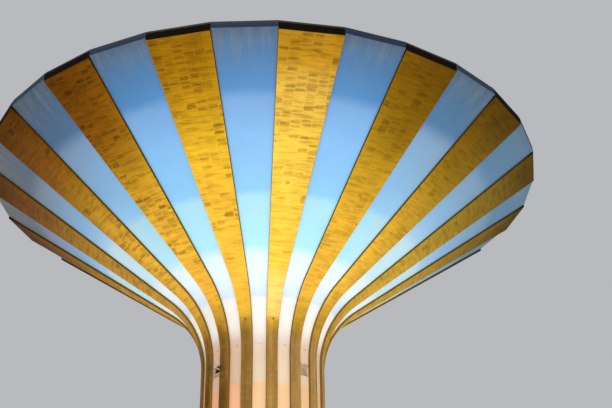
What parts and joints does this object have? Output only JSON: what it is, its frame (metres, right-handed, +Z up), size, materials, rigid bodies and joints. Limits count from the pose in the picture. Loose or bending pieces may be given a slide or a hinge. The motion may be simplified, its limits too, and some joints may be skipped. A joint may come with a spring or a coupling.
{
  "type": "striped concrete water tower, 1:10 scale model",
  "caption": "Mushroom-shaped concrete water tower: a ribbed round shaft that spreads into a wide conical bowl with painted stripes, under a shallow roof.",
  "frame": {"origin": "on the ground, in the middle of the shaft's foot", "axes": "+Z up along the tower's axis; -Y towards the panel with the door; +X to the right of it"},
  "size_m": [5.6726, 5.6726, 6.1008],
  "materials": {
    "rib_concrete": "board-marked bare concrete, ochre brown, rough and stained",
    "panel_paint": "smooth painted concrete in bands from blue at the rim through white to peach low on the shaft, matt",
    "plain_concrete": "plain weathered concrete",
    "louvre_paint": "dull grey-brown painted steel",
    "door_paint": "grey painted steel, worn at the edges"
  },
  "bodies": {
    "root": {"panel_01": "panel_paint", "panel_02": "panel_paint", "panel_03": "panel_paint", "panel_04": "panel_paint", "panel_05": "panel_paint", "panel_06": "panel_paint", "panel_07": "panel_paint", "panel_08": "panel_paint", "panel_09": "panel_paint", "panel_10": "panel_paint", "panel_11": "panel_paint", "panel_12": "panel_paint", "panel_13": "panel_paint", "panel_14": "panel_paint", "panel_15": "panel_paint", "panel_16": "panel_paint", "rib_01": "rib_concrete", "rib_02": "rib_concrete", "rib_03": "rib_concrete", "rib_04": "rib_concrete", "rib_05": "rib_concrete", "rib_06": "rib_concrete", "rib_07": "rib_concrete", "rib_08": "rib_concrete", "rib_09": "rib_concrete", "rib_10": "rib_concrete", "rib_11": "rib_concrete", "rib_12": "rib_concrete", "rib_13": "rib_concrete", "rib_14": "rib_concrete", "rib_15": "rib_concrete", "rib_16": "rib_concrete", "louvre_03": "louvre_paint", "louvre_07": "louvre_paint", "louvre_11": "louvre_paint", "louvre_15": "louvre_paint", "door_frame": "door_paint", "door_leaf": "door_paint", "ground_floor": "plain_concrete", "tank_floor": "plain_concrete", "roof_quarter_1": "plain_concrete", "roof_quarter_2": "plain_concrete", "roof_quarter_3": "plain_concrete", "roof_quarter_4": "plain_concrete", "turret_wall": "plain_concrete", "turret_roof": "plain_concrete"}
  },
  "joints": []
}
